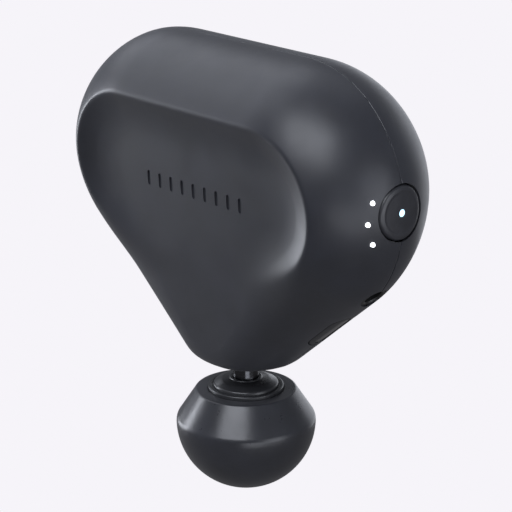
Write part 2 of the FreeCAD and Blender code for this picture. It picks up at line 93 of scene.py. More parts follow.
# Camera and studio: metres, degrees and watts, with the film and lens in millimetres
AZIMUTH, ELEVATION, ROLL = 48.69, 18.02, -0.38
LOOK_HEIGHT, DISTANCE = 0.07657, 0.60992
FILM, LENS = 36, 140.16375
SHIFT_RIGHT, SHIFT_UP = 0.0213671875, -0.00720703125
FLOOR_Z = -0.35
BACKDROP = (0.922, 0.905, 0.947)
FLOOR_BOUNCE = 0.16
ROOM_FILL = 0.2
ROOM_COLOUR = (0.86, 0.9, 1.0)
COOL = (0.89, 0.92, 1.0)
SOFT_BOXES = (
    # name, place, aim, size, watts
    ("key", (-0.9, -0.1, 1.0), (0, 0, 0.1), (1.3, 1.2), 7),
    ("left", (-1.2, -0.22, -0.25), (0, 0, 0.08), (0.6, 0.6), 4.6),
    ("front_left", (-0.93, -0.42, 0.17), (0, 0, 0.03), (0.14, 0.4), 3.4),
    ("front_top", (0.3, -0.75, 0.95), (0, 0, 0.1), (0.9, 0.7), 12.5),
    ("top", (-0.2, 0.35, 1.1), (0, 0, 0.1), (0.9, 0.7), 1),
    ("back", (-0.35, 1.0, 0.0), (0, 0, 0.08), (0.9, 0.8), 2.5),
    ("right", (1.1, 0.1, 0.1), (0, 0, 0.08), (0.6, 0.8), 4),
    ("low", (0.85, -0.45, -0.25), (0.03, 0, 0.07), (0.6, 0.5), 2.6),
)


# ---- Mesh helpers ----

def mesh_object(name, mesh):
    """Object for a mesh, linked into the scene."""
    ob = bpy.data.objects.new(name, mesh)
    bpy.context.scene.collection.objects.link(ob)
    return ob


def from_bmesh(name, bm):
    """Object from a finished bmesh, which is freed."""
    mesh = bpy.data.meshes.new(name)
    bm.to_mesh(mesh)
    bm.free()
    return mesh_object(name, mesh)


def tidy_normals(bm):
    """Joins points in the same place and turns every face outwards."""
    bmesh.ops.remove_doubles(bm, verts=bm.verts, dist=1e-7)
    bmesh.ops.recalc_face_normals(bm, faces=bm.faces)


def smooth(ob, degrees=35):
    """Smooth shading with edges kept sharp past an angle."""
    ob.data.shade_smooth()
    ob.data.set_sharp_from_angle(angle=math.radians(degrees))


def baked(ob, name=None):
    """Applies the object's modifiers and returns it with a plain mesh."""
    graph = bpy.context.evaluated_depsgraph_get()
    mesh = bpy.data.meshes.new_from_object(ob.evaluated_get(graph))
    ob.modifiers.clear()
    ob.data = mesh
    if name:
        ob.name = name
    return ob


def rounded(corners, steps=6):
    """Profile through (radius, height, rounding) corners, each rounded by its own radius."""
    path = []
    for i, (r, h, fillet) in enumerate(corners):
        here = np.array((r, h))
        if fillet <= 0 or i in (0, len(corners) - 1):
            path.append((r, h))
            continue
        before = np.array(corners[i - 1][:2]) - here
        after = np.array(corners[i + 1][:2]) - here
        before /= np.linalg.norm(before)
        after /= np.linalg.norm(after)
        half = math.acos(np.clip(before @ after, -1, 1)) / 2
        start = here + before * fillet / math.tan(half)
        middle = before + after
        centre = here + middle / np.linalg.norm(middle) * fillet / math.sin(half)
        a = math.atan2(*(start - centre)[::-1])
        end = here + after * fillet / math.tan(half)
        b = math.atan2(*(end - centre)[::-1])
        sweep = (b - a + math.pi) % (2 * math.pi) - math.pi
        for k in range(steps + 1):
            turn = a + sweep * k / steps
            path.append((centre[0] + fillet * math.cos(turn), centre[1] + fillet * math.sin(turn)))
    return path


def turned(name, path, segments=128, place=Matrix.Identity(4), loop=False):
    """Solid of revolution about local Z; path is (radius, height) in millimetres.
    An open path starts and ends on the axis; a loop makes a ring."""
    bm = bmesh.new()
    rings = []
    for r, h in path:
        if r < 1e-6:
            rings.append([bm.verts.new((0, 0, h * MM))])
            continue
        rings.append([bm.verts.new((r * MM * math.cos(2 * math.pi * k / segments),
                                    r * MM * math.sin(2 * math.pi * k / segments), h * MM))
                      for k in range(segments)])
    pairs = list(zip(rings, rings[1:]))
    if loop:
        pairs.append((rings[-1], rings[0]))
    for low, high in pairs:
        for k in range(segments):
            n = (k + 1) % segments
            if len(low) == 1 and len(high) == 1:
                continue
            if len(low) == 1:
                bm.faces.new((low[0], high[k], high[n]))
            elif len(high) == 1:
                bm.faces.new((low[k], low[n], high[0]))
            else:
                bm.faces.new((low[k], low[n], high[n], high[k]))
    bm.transform(place)
    tidy_normals(bm)
    ob = from_bmesh(name, bm)
    smooth(ob)
    return ob


def along(direction, origin):
    """Placement that sends local +Z along a direction from an origin in millimetres."""
    turn = Vector(direction).to_track_quat("Z", "Y").to_matrix().to_4x4()
    return Matrix.Translation(Vector(origin) * MM) @ turn


def flank_frame(turn_degrees, x, z):
    """Placement with +Z outwards at an angle in the XZ plane and +X along the casing's edge."""
    a = math.radians(turn_degrees)
    frame = Matrix.Identity(4)
    frame.col[0] = (math.sin(a), 0, -math.cos(a), 0)
    frame.col[1] = (0, 1, 0, 0)
    frame.col[2] = (math.cos(a), 0, math.sin(a), 0)
    return Matrix.Translation(Vector((x, 0, z)) * MM) @ frame


# ---- Casing ----

def lobed_ring(lobe_x, lobe_z, lobe_r, nose_z, nose_r):
    """Rounded triangle as (x, z) points, evenly matched from ring to ring."""
    top_steps, arc_steps, flank_steps, toe_steps = 12, 48, 24, 10
    drop = lobe_z - nose_z
    low = math.atan2(drop, lobe_x) - math.pi / 2 - math.asin((lobe_r - nose_r) / math.hypot(lobe_x, drop))
    right = [(lobe_x * i / top_steps, lobe_z + lobe_r) for i in range(top_steps)]
    for i in range(arc_steps):
        turn = math.pi / 2 + (low - math.pi / 2) * i / arc_steps
        right.append((lobe_x + lobe_r * math.cos(turn), lobe_z + lobe_r * math.sin(turn)))
    start = np.array((lobe_x + lobe_r * math.cos(low), lobe_z + lobe_r * math.sin(low)))
    end = np.array((nose_r * math.cos(low), nose_z + nose_r * math.sin(low)))
    right += [tuple(start + (end - start) * i / flank_steps) for i in range(flank_steps)]
    for i in range(toe_steps + 1):
        turn = low + (-math.pi / 2 - low) * i / toe_steps
        right.append((nose_r * math.cos(turn), nose_z + nose_r * math.sin(turn)))
    left = [(-x, z) for x, z in reversed(right[1:-1])]
    return np.array(right + left)


def lobed_depth(points, lobe_x, lobe_z, lobe_r, nose_z, nose_r):
    """How far inside a rounded triangle each (x, z) point lies."""
    x, z = np.abs(points[:, 0]), points[:, 1]
    lobe_r, nose_r = np.broadcast_to(lobe_r, x.shape), np.broadcast_to(nose_r, x.shape)
    drop = lobe_z - nose_z
    low = math.atan2(drop, lobe_x) - math.pi / 2 - np.arcsin((lobe_r - nose_r) / math.hypot(lobe_x, drop))
    qx, qz = x - lobe_x, z - lobe_z
    side = np.cos(low) * qx + np.sin(low) * qz - lobe_r
    top = qz - lobe_r
    straight = np.maximum(side, top)
    on_lobe = (qx > 0) & (-np.sin(low) * qx + np.cos(low) * qz > 0)
    on_nose = -np.sin(low) * x + np.cos(low) * (z - nose_z) < 0
    outside = np.where(on_lobe, np.hypot(qx, qz) - lobe_r, straight)
    outside = np.where(on_nose, np.hypot(x, z - nose_z) - nose_r, outside)
    return -outside


def sag(climb):
    """How far the flank has rounded over, from 0 at the seam to 1 at the crown."""
    return 1 - (1 - climb ** ROUND_POWER) ** (1 / ROUND_POWER)


def climb_at(points):
    """Fraction of the half thickness reached above each (x, z) point of the rounded side."""
    low, high = np.zeros(len(points)), np.ones(len(points))
    for _ in range(40):
        mid = (low + high) / 2
        s = sag(mid)
        inside = lobed_depth(points, LOBE_X, LOBE_Z, LOBE_R - ROUND_DEPTH * s,
                             NOSE_Z, NOSE_R - NOSE_ROUND_DEPTH * s) > 0
        low, high = np.where(inside, mid, low), np.where(inside, high, mid)
    return low


def dish_ring(extra):
    """The dish's outline, grown outwards, or inwards by a negative amount."""
    return lobed_ring(DISH_X, DISH_Z, DISH_R + extra, DISH_NOSE_Z, DISH_NOSE_R + extra)


def casing_rings():
    """Rings of one casing half from the seam to the middle of its dish, with each ring's climb."""
    climbs = np.concatenate(([0, 0.004], 0.02 + 0.78 * np.linspace(0, 1, 26) ** 0.85))
    rings = []
    for t in climbs:
        dip = SEAM_DIP if t == 0 else 0
        s = sag(t)
        ring = lobed_ring(LOBE_X, LOBE_Z, LOBE_R - dip - ROUND_DEPTH * s,
                          NOSE_Z, NOSE_R - dip - NOSE_ROUND_DEPTH * s)
        rings.append((ring, np.full(len(ring), t)))
    outer, inner = rings[-1][0], dish_ring(2.0)
    between = [outer + (inner - outer) * k / 6 for k in range(1, 6)]
    edges = [dish_ring(g) for g in (2.0, 1.4, 0.9, 0.6, 0.3, 0.0, -0.3, -0.6, -0.9, -1.4, -2.0, -2.8, -3.8,
                                    -5.0, -6.2, -7.4, -8.6)]
    centre = np.array((0.0, DISH_CENTRE_Z))
    cores = [centre + (edges[-1] - centre) * f for f in (0.88, 0.75, 0.62, 0.48, 0.34, 0.2, 0.09)]
    for ring in between + edges + cores:
        rings.append((ring, climb_at(ring)))
    return rings, centre


def casing_template(name):
    """Flat sheet of rings; its climb and rim values say where the casing rises and dishes."""
    rings, centre = casing_rings()
    bm = bmesh.new()
    rows = [[bm.verts.new((x * MM, 0, z * MM)) for x, z in ring] for ring, _ in rings]
    count = len(rows[0])
    for low, high in zip(rows, rows[1:]):
        for k in range(count):
            n = (k + 1) % count
            bm.faces.new((low[k], low[n], high[n], high[k]))
    hub = bm.verts.new((centre[0] * MM, 0, centre[1] * MM))
    for k in range(count):
        bm.faces.new((rows[-1][k], rows[-1][(k + 1) % count], hub))
    ob = from_bmesh(name, bm)
    flat = np.vstack([ring for ring, _ in rings] + [centre[None, :]])
    climb = np.concatenate([c for _, c in rings] + [[1.0]])
    rim = lobed_depth(flat, DISH_X, DISH_Z, DISH_R, DISH_NOSE_Z, DISH_NOSE_R)
    for label, values in (("climb", climb), ("rim", rim)):
        ob.data.attributes.new(label, "FLOAT", "POINT").data.foreach_set("value", values.astype(np.float32))
    return ob


class Field:
    """A value in a geometry node tree that takes ordinary sums."""
    def __init__(self, tree, socket):
        self.tree, self.socket = tree, socket

    def _math(self, operation, *values):
        node = self.tree.nodes.new("ShaderNodeMath")
        node.operation = operation
        for slot, value in zip(node.inputs, (self,) + values):
            if isinstance(value, Field):
                self.tree.links.new(value.socket, slot)
            else:
                slot.default_value = value
        return Field(self.tree, node.outputs[0])

    def __add__(self, other):
        return self._math("ADD", other)

    def __sub__(self, other):
        return self._math("SUBTRACT", other)

    def __mul__(self, other):
        return self._math("MULTIPLY", other)

    def __truediv__(self, other):
        return self._math("DIVIDE", other)

    def root(self):
        return self._math("SQRT")

    def floor_at(self, other):
        return self._math("MAXIMUM", other)

    def ceiling_at(self, other):
        return self._math("MINIMUM", other)

    def soft_min(self, other, width):
        return self._math("SMOOTH_MIN", other, width)

    def soft_max(self, other, width):
        return self._math("SMOOTH_MAX", other, width)


def new_tree(name, sizes):
    """Geometry node tree with a mesh input, named sizes and a material; returns it and its fields."""
    tree = bpy.data.node_groups.new(name, "GeometryNodeTree")
    tree.interface.new_socket("Geometry", in_out="INPUT", socket_type="NodeSocketGeometry")
    for label, value in sizes.items():
        tree.interface.new_socket(label, in_out="INPUT", socket_type="NodeSocketFloat").default_value = value
    tree.interface.new_socket("Material", in_out="INPUT", socket_type="NodeSocketMaterial")
    tree.interface.new_socket("Geometry", in_out="OUTPUT", socket_type="NodeSocketGeometry")
    entry = tree.nodes.new("NodeGroupInput")
    fields = {label: Field(tree, entry.outputs[label]) for label in sizes}
    return tree, entry, fields


def close_tree(tree, entry, geometry):
    """Ends a tree in Realize Instances and Set Material."""
    real = tree.nodes.new("GeometryNodeRealizeInstances")
    tree.links.new(geometry, real.inputs[0])
    paint = tree.nodes.new("GeometryNodeSetMaterial")
    tree.links.new(real.outputs[0], paint.inputs["Geometry"])
    tree.links.new(entry.outputs["Material"], paint.inputs["Material"])
    tree.links.new(paint.outputs[0], tree.nodes.new("NodeGroupOutput").inputs[0])


def grow(ob, tree, material, **sizes):
    """Runs a tree on an object and leaves a plain mesh."""
    modifier = ob.modifiers.new(tree.name, "NODES")
    modifier.node_group = tree
    sockets = {s.name: s.identifier for s in tree.interface.items_tree if s.in_out == "INPUT"}
    modifier[sockets["Material"]] = material
    for label, value in sizes.items():
        modifier[sockets[label]] = float(value)
    return baked(ob)


def named_value(tree, label):
    """Field that reads an attribute of the mesh."""
    node = tree.nodes.new("GeometryNodeInputNamedAttribute")
    node.data_type = "FLOAT"
    node.inputs["Name"].default_value = label
    return Field(tree, node.outputs["Attribute"])


def casing_tree():
    """Raises the flat sheet into a casing half: a tapering pebble with a dished face and a flat nose."""
    tree, entry, size = new_tree("casing_form", {
        "Side": 1.0, "Half thickness": HALF_THICK, "Shoulder height": TAPER_Z, "Taper": TAPER,
        "Taper blend": TAPER_BLEND,
        "Dish level": DISH_TOP_Y, "Dish height": DISH_TOP_Z, "Dish slope": DISH_SLOPE,
        "Dish width": DISH_WIDTH, "Dish rise": DISH_RISE, "Rim softness": RIM_SOFTNESS,
        "Fade height": FADE_TOP, "Fade run": FADE_RUN, "Faded softness": FADE_SOFTNESS,
        "Nose cut": NOSE_CUT, "Nose softness": NOSE_SOFTNESS, "Seam": SEAM_HALF})
    place = tree.nodes.new("GeometryNodeInputPosition")
    split = tree.nodes.new("ShaderNodeSeparateXYZ")
    tree.links.new(place.outputs[0], split.inputs[0])
    x = Field(tree, split.outputs["X"])
    z = Field(tree, split.outputs["Z"]) * 1000.0
    drop = size["Shoulder height"] - z
    blended = (drop + (drop * drop + size["Taper blend"] * size["Taper blend"]).root()) * 0.5
    side = named_value(tree, "climb") * (size["Half thickness"] - size["Taper"] * blended) + size["Seam"]
    near = (size["Dish width"] - named_value(tree, "rim")).floor_at(0.0) / size["Dish width"]
    fade = ((size["Fade height"] - z) / size["Fade run"]).floor_at(0.0).ceiling_at(1.0)
    fade = fade * fade * (fade * -2.0 + 3.0)
    curl = near * near * (fade * -1.0 + 1.0)
    floor = size["Dish level"] - (size["Dish height"] - z) * size["Dish slope"]
    dish = floor + curl * size["Dish rise"]
    height = side.soft_min(dish, size["Rim softness"] + fade * size["Faded softness"])
    y = height * size["Side"] * 0.001
    nose = z.soft_max(size["Nose cut"], size["Nose softness"]) * 0.001
    joined = tree.nodes.new("ShaderNodeCombineXYZ")
    for value, slot in ((x, "X"), (y, "Y"), (nose, "Z")):
        tree.links.new(value.socket, joined.inputs[slot])
    move = tree.nodes.new("GeometryNodeSetPosition")
    tree.links.new(entry.outputs["Geometry"], move.inputs["Geometry"])
    tree.links.new(joined.outputs[0], move.inputs["Position"])
    close_tree(tree, entry, move.outputs[0])
    return tree


def half_thickness(z):
    """The casing's half thickness at a height, before its dish."""
    drop = TAPER_Z - z
    return HALF_THICK - TAPER * (drop + math.hypot(drop, TAPER_BLEND)) / 2


def side_x(y, z):
    """Casing's right-hand surface at a height near the button, in millimetres."""
    climb = min(abs(y) / half_thickness(z), 0.999)
    reach = LOBE_R - ROUND_DEPTH * sag(climb)
    return LOBE_X + math.sqrt(reach ** 2 - (z - LOBE_Z) ** 2)


def cylinder_cutter(name, radius, start, direction, length, segments=96):
    """Closed cylinder from a start point in millimetres."""
    path = [(0, 0), (radius, 0), (radius, length), (0, length)]
    return turned(name, path, segments, along(direction, start))


def slab_outline(half_length, half_width, steps=16):
    """Points round a round-ended slot."""
    reach = half_length - half_width
    points = []
    for k in range(steps + 1):
        a = -math.pi / 2 + math.pi * k / steps
        points.append((reach + half_width * math.cos(a), half_width * math.sin(a)))
    for k in range(steps + 1):
        a = math.pi / 2 + math.pi * k / steps
        points.append((-reach + half_width * math.cos(a), half_width * math.sin(a)))
    return points


def slab(name, half_length, half_width, low, high, place):
    """Closed round-ended slab between two heights."""
    outline = slab_outline(half_length, half_width)
    bm = bmesh.new()
    rows = [[bm.verts.new((x * MM, y * MM, h * MM)) for x, y in outline] for h in (low, high)]
    count = len(outline)
    for k in range(count):
        n = (k + 1) % count
        bm.faces.new((rows[0][k], rows[0][n], rows[1][n], rows[1][k]))
    bm.faces.new(rows[0])
    bm.faces.new(rows[1])
    bm.transform(place)
    tidy_normals(bm)
    return from_bmesh(name, bm)


def cut(ob, cutters):
    """Takes the cutters out of a closed piece and removes them."""
    for cutter in cutters:
        modifier = ob.modifiers.new("cut", "BOOLEAN")
        modifier.operation = "DIFFERENCE"
        modifier.solver = "EXACT"
        modifier.object = cutter
    baked(ob)
    for cutter in cutters:
        bpy.data.objects.remove(cutter)


def keep_shading(ob, source):
    """Gives the corners that lie on the uncut surface that surface's own smooth normals."""
    bm = bmesh.new()
    bm.from_mesh(source)
    bmesh.ops.triangulate(bm, faces=bm.faces)
    bm.normal_update()
    bm.faces.ensure_lookup_table()
    skin = BVHTree.FromBMesh(bm)
    normals = [Vector((0, 0, 0)) for _ in ob.data.loops]
    for poly in ob.data.polygons:
        for index in poly.loop_indices:
            point = ob.data.vertices[ob.data.loops[index].vertex_index].co
            spot, _, face_index, distance = skin.find_nearest(point)
            if distance is None or distance > 4e-6:
                continue
            face = bm.faces[face_index]
            if face.normal.dot(poly.normal) < 0.8:
                continue
            a, b, c = [v.co for v in face.verts]
            area = (b - a).cross(c - a).length
            if area < 1e-16:
                continue
            wa = (b - spot).cross(c - spot).length / area
            wb = (c - spot).cross(a - spot).length / area
            wc = (a - spot).cross(b - spot).length / area
            normals[index] = (face.verts[0].normal * wa + face.verts[1].normal * wb
                              + face.verts[2].normal * wc).normalized()
    bm.free()
    ob.data.normals_split_custom_set(normals)


def shared_cutters():
    """Button hole, jack hole, gauge pocket and nose hole."""
    turn = math.radians(JACK_TURN)
    out = Vector((math.cos(turn), 0, math.sin(turn)))
    rim = Vector((LOBE_X, 0, LOBE_Z)) + out * LOBE_R
    return [cylinder_cutter("c1", BUTTON_HOLE_R, (54, 0, BUTTON_Z), (1, 0, 0), 26),
            cylinder_cutter("c2", JACK_R + 0.02, rim - out * 12, out, 20),
            cylinder_cutter("c3", SEAL_R, (0, 0, 38), (0, 0, 1), 9),
            slab("c4", 10.05, 5.05, -1.2, 5, flank_frame(GAUGE_TURN, GAUGE_X, GAUGE_Z))]


def tick_cutters():
    """Row of plain upright marks in the front dish."""
    level = DISH_TOP_Y - (DISH_TOP_Z - TICK_Z) * DISH_SLOPE
    cutters = []
    for k in range(TICKS):
        x = (k - (TICKS - 1) / 2) * TICK_PITCH
        place = Matrix.Translation(Vector((x, -level, TICK_Z)) * MM) @ Matrix(
            ((0, 1, 0, 0), (0, 0, -1, 0), (1, 0, 0, 0), (0, 0, 0, 1)))
        cutters.append(slab("tick", TICK_HEIGHT / 2, TICK_WIDTH / 2, -0.55, 3, place))
    return cutters


def casing_half(name, side, material, extra_cutters):
    """One half of the casing with its wall, openings and clean shading."""
    ob = grow(casing_template(name), casing_form, material, Side=side)
    bm = bmesh.new()
    bm.from_mesh(ob.data)
    tidy_normals(bm)
    middle = max(bm.faces, key=lambda f: abs(f.calc_center_median().y))
    if middle.normal.y * side < 0:
        bmesh.ops.reverse_faces(bm, faces=bm.faces)
    bm.to_mesh(ob.data)
    bm.free()
    ob.data.shade_smooth()
    skin = ob.data.copy()
    wall = ob.modifiers.new("wall", "SOLIDIFY")
    wall.thickness = WALL * MM
    wall.offset = -1
    baked(ob)
    cut(ob, shared_cutters() + extra_cutters)
    smooth(ob, 30)
    keep_shading(ob, skin)
    return ob


# ---- Finishes ----

def ramp(nodes, stops):
    """Colour ramp through (place, colour) stops; a colour of one number is a grey."""
    node = nodes.new("ShaderNodeValToRGB")
    ends = node.color_ramp.elements
    while len(ends) < len(stops):
        ends.new(0.5)
    for end, (place, colour) in zip(ends, stops):
        end.position = place
        end.color = (*colour, 1) if len(colour) == 3 else (colour[0],) * 3 + (1,)
    return node


def noise(nodes, links, scale, detail=4.0, rough=0.55, source=None):
    """Noise texture, read at the given vector if there is one."""
    node = nodes.new("ShaderNodeTexNoise")
    node.inputs["Scale"].default_value = scale
    node.inputs["Detail"].default_value = detail
    node.inputs["Roughness"].default_value = rough
    if source is not None:
        links.new(source, node.inputs["Vector"])
    return node


def finish(name, dark, light, roughness, patch=60.0, grain=4500.0, bump=0.04, stretch=(1, 1, 1), **sockets):
    """Moulded or machined finish: mottled colour, smudged roughness and a fine grain.
    Roughness is a (low, high) pair; other sockets are set on the shader itself."""
    mat = bpy.data.materials.new(name)
    mat.use_nodes = True
    nodes, links = mat.node_tree.nodes, mat.node_tree.links
    shader = nodes["Principled BSDF"]
    place = nodes.new("ShaderNodeTexCoord")
    turn = nodes.new("ShaderNodeMapping")
    turn.inputs["Scale"].default_value = stretch
    links.new(place.outputs["Object"], turn.inputs["Vector"])
    mottle = noise(nodes, links, patch, 5, 0.6, turn.outputs[0])
    colour = ramp(nodes, ((0.3, dark), (0.72, light)))
    links.new(mottle.outputs["Fac"], colour.inputs["Fac"])
    links.new(colour.outputs["Color"], shader.inputs["Base Color"])
    smudge = noise(nodes, links, patch * 2.7, 6, 0.65, turn.outputs[0])
    shine = ramp(nodes, ((0.32, (roughness[0],)), (0.7, (roughness[1],))))
    links.new(smudge.outputs["Fac"], shine.inputs["Fac"])
    links.new(shine.outputs["Color"], shader.inputs["Roughness"])
    pores = noise(nodes, links, grain, 3, 0.6, turn.outputs[0])
    relief = nodes.new("ShaderNodeBump")
    relief.inputs["Strength"].default_value = bump
    relief.inputs["Distance"].default_value = 0.0002
    links.new(pores.outputs["Fac"], relief.inputs["Height"])
    links.new(relief.outputs["Normal"], shader.inputs["Normal"])
    for label, value in sockets.items():
        shader.inputs[label.replace("_", " ")].default_value = value
    return mat


def grey(level, blue=0.0):
    """A grey, leaning to blue by a share."""
    return (level, level * (1 + blue * 0.15), level * (1 + blue))


FINISHES = {
    "casing": finish("soft_touch_charcoal", grey(0.015, 0.3), grey(0.0215, 0.4), (0.36, 0.44), 45, 5200, 0.05,
                     Sheen_Weight=0.08, Sheen_Roughness=0.5, Specular_IOR_Level=0.5),
    "plug": finish("soft_plug", grey(0.029, 0.12), grey(0.037, 0.15), (0.5, 0.6), 120, 5000, 0.06),
    "button": finish("button_satin", grey(0.021, 0.18), grey(0.029, 0.22), (0.30, 0.38), 130, 6500, 0.03),
    "foam": finish("ball_satin_foam", grey(0.018, 0.2), grey(0.027, 0.26), (0.27, 0.34), 60, 5600, 0.05,
                   Sheen_Weight=0.05),
    "core": finish("socket_satin", grey(0.018, 0.1), grey(0.025, 0.12), (0.26, 0.36), 150, 6000, 0.03),
    "shaft": finish("black_polished_steel", grey(0.07, 0.06), grey(0.10, 0.08), (0.12, 0.2), 220, 5000, 0.015,
                    (1, 1, 14), Metallic=1.0),
    "rubber": finish("nose_rubber", grey(0.012), grey(0.02), (0.55, 0.7), 200, 4200, 0.12),
    "jack": finish("jack_moulding", grey(0.008), grey(0.013), (0.3, 0.42), 180, 6000, 0.04),
    "bezel": finish("gauge_frame", grey(0.020, 0.1), grey(0.028, 0.12), (0.32, 0.4), 110, 5600, 0.04),
    "window": finish("gauge_glass", grey(0.004), grey(0.007), (0.06, 0.11), 160, 7000, 0.006,
                     Coat_Weight=0.4),
}
INNER_FINISHES = {
    "case_screws": finish("screw_steel", grey(0.42), grey(0.55), (0.25, 0.38), 500, 7000, 0.05, Metallic=1.0),
    "drive_chassis": finish("cast_alloy", grey(0.45), grey(0.58), (0.38, 0.55), 260, 3000, 0.25,
                            Metallic=1.0),
    "shaft_bushings": finish("sintered_bronze", (0.42, 0.27, 0.12), (0.55, 0.38, 0.18), (0.35, 0.5),
                             500, 4200, 0.2, Metallic=1.0),
    "chassis_grommets": finish("grommet_rubber", grey(0.014), grey(0.022), (0.6, 0.75), 260, 4200, 0.12),
    "motor_can": finish("zinc_plate", grey(0.5, 0.05), grey(0.62, 0.06), (0.22, 0.34), 260, 5600, 0.06,
                        Metallic=1.0),
    "motor_stator": finish("stacked_iron", grey(0.13), grey(0.2), (0.4, 0.55), 240, 1800, 0.3, (1, 14, 1),
                           Metallic=1.0),
    "motor_coils": finish("enamelled_copper", (0.55, 0.2, 0.07), (0.72, 0.32, 0.12), (0.2, 0.32),
                          420, 900, 0.5, (1, 1, 6), Metallic=1.0),
    "motor_bearings": finish("bearing_steel", grey(0.55), grey(0.68), (0.1, 0.2), 420, 6000, 0.02,
                             Metallic=1.0),
    "button_board": finish("board_green", (0.012, 0.09, 0.035), (0.02, 0.13, 0.05), (0.25, 0.38),
                           420, 2600, 0.12),
    "tact_switch": finish("switch_moulding", grey(0.02), grey(0.03), (0.4, 0.5), 500, 5200, 0.06),
    "jack_pin": finish("nickel_plate", (0.55, 0.53, 0.47), (0.68, 0.65, 0.58), (0.14, 0.24), 500, 7000, 0.02,
                       Metallic=1.0),
    "battery_cells": finish("cell_sleeve_blue", (0.03, 0.09, 0.24), (0.045, 0.12, 0.3), (0.22, 0.32),
                            160, 5000, 0.03),
    "cell_cradles": finish("cradle_moulding", grey(0.035), grey(0.05), (0.45, 0.6), 220, 4600, 0.08),
    "board_parts": finish("chip_resin", grey(0.018), grey(0.028), (0.4, 0.55), 500, 5200, 0.08),
    "cell_leads": finish("red_silicone", (0.32, 0.012, 0.01), (0.42, 0.02, 0.015), (0.4, 0.5),
                         420, 5200, 0.05),
    "motor_lead": finish("black_silicone", grey(0.014), grey(0.02), (0.4, 0.5), 420, 5200, 0.05),
    "motor_rotor": finish("coated_magnet", grey(0.2), grey(0.28), (0.3, 0.42), 300, 5200, 0.05, Metallic=1.0),
    "crank_disc": finish("turned_steel", grey(0.38), grey(0.5), (0.24, 0.36), 300, 5600, 0.08, Metallic=1.0),
    "connecting_rod": finish("milled_alloy", grey(0.5), grey(0.62), (0.28, 0.4), 320, 5200, 0.08, (1, 1, 8),
                             Metallic=1.0),
}
SAME_FINISH = {
    "chassis_screws": "case_screws", "board_screws": "case_screws", "main_board": "button_board",
    "big_end_bearing": "motor_bearings", "small_end_bush": "shaft_bushings", "crank_pin": "motor_bearings",
    "wrist_pin": "motor_bearings", "motor_shaft": "motor_bearings", "detent_ring": "chassis_grommets",
}


def glow(name, core, strength, base):
    """Frosted light pipe lit from behind, with one even glow over its surface."""
    mat = finish(name, base, base, (0.2, 0.3), 700, 6000, 0.02)
    shader = mat.node_tree.nodes["Principled BSDF"]
    shader.inputs["Emission Color"].default_value = (*core, 1)
    shader.inputs["Emission Strength"].default_value = strength
    return mat


def paint(ob, mat):
    """Gives the whole object one material."""
    ob.data.materials.clear()
    ob.data.materials.append(mat)


# ---- Button, lights, jack and gauge ----

def power_button():
    """Cap following the casing: soft outer edge, raised rim band and a dished middle with a light hole."""
    profile = rounded(((1.12, -0.62, 0), (1.12, -0.42, 0.12), (3.5, -0.36, 2), (5.7, -0.12, 1.2),
                       (6.5, 0.1, 0.5), (7.5, 0.1, 0.6), (8.0, -0.45, 0.25), (8.0, -2.0, 0)), 5)
    back = ((8.0, -4.0), (8.0, -5.6), (9.1, -5.6), (9.1, -7.0), (2.0, -7.0), (2.0, -9.2), (0, -9.2))
    floor = ((0, -1.5), (1.12, -1.5))
    segments = 128
    bm = bmesh.new()
    rings = []
    for r, h in list(floor) + profile + list(back):
        ring = []
        for k in range(segments if r > 0 else 1):
            a = 2 * math.pi * k / segments
            y, z = r * math.cos(a), r * math.sin(a)
            if h > -4:
                x = side_x(y, BUTTON_Z + z) - BUTTON_SINK + h
            else:
                x = LOBE_X + LOBE_R - BUTTON_SINK + h
            ring.append(bm.verts.new((x * MM, y * MM, (BUTTON_Z + z) * MM)))
        rings.append(ring)
    for low, high in zip(rings, rings[1:]):
        for k in range(segments):
            n = (k + 1) % segments
            if len(low) == 1:
                bm.faces.new((low[0], high[k], high[n]))
            elif len(high) == 1:
                bm.faces.new((low[k], low[n], high[0]))
            else:
                bm.faces.new((low[k], low[n], high[n], high[k]))
    tidy_normals(bm)
    ob = from_bmesh("button_cap", bm)
    smooth(ob, 40)
    return ob


def light_tree():
    """Sets one lens on each light point, turned along the stored direction."""
    tree, entry, size = new_tree("speed_light_row", {"Radius": LIGHT_R, "Length": 3.0, "Dome": 0.25})
    lens = tree.nodes.new("GeometryNodeMeshUVSphere")
    lens.inputs["Segments"].default_value = 32
    lens.inputs["Rings"].default_value = 16
    tree.links.new((size["Radius"] * 0.001).socket, lens.inputs["Radius"])
    stretch = tree.nodes.new("GeometryNodeTransform")
    scale = tree.nodes.new("ShaderNodeCombineXYZ")
    scale.inputs["X"].default_value = 1.0
    scale.inputs["Y"].default_value = 1.0
    tree.links.new((size["Length"] * 0.5 / size["Radius"]).socket, scale.inputs["Z"])
    tree.links.new(lens.outputs["Mesh"], stretch.inputs["Geometry"])
    tree.links.new(scale.outputs[0], stretch.inputs["Scale"])
    aim = tree.nodes.new("FunctionNodeAlignRotationToVector")
    aim.axis = "Z"
    way = tree.nodes.new("GeometryNodeInputNamedAttribute")
    way.data_type = "FLOAT_VECTOR"
    way.inputs["Name"].default_value = "way"
    tree.links.new(way.outputs["Attribute"], aim.inputs["Vector"])
    spread = tree.nodes.new("GeometryNodeInstanceOnPoints")
    tree.links.new(entry.outputs["Geometry"], spread.inputs["Points"])
    tree.links.new(stretch.outputs[0], spread.inputs["Instance"])
    tree.links.new(aim.outputs[0], spread.inputs["Rotation"])
    shade = tree.nodes.new("GeometryNodeSetShadeSmooth")
    tree.links.new(spread.outputs[0], shade.inputs[0])
    close_tree(tree, entry, shade.outputs[0])
    return tree


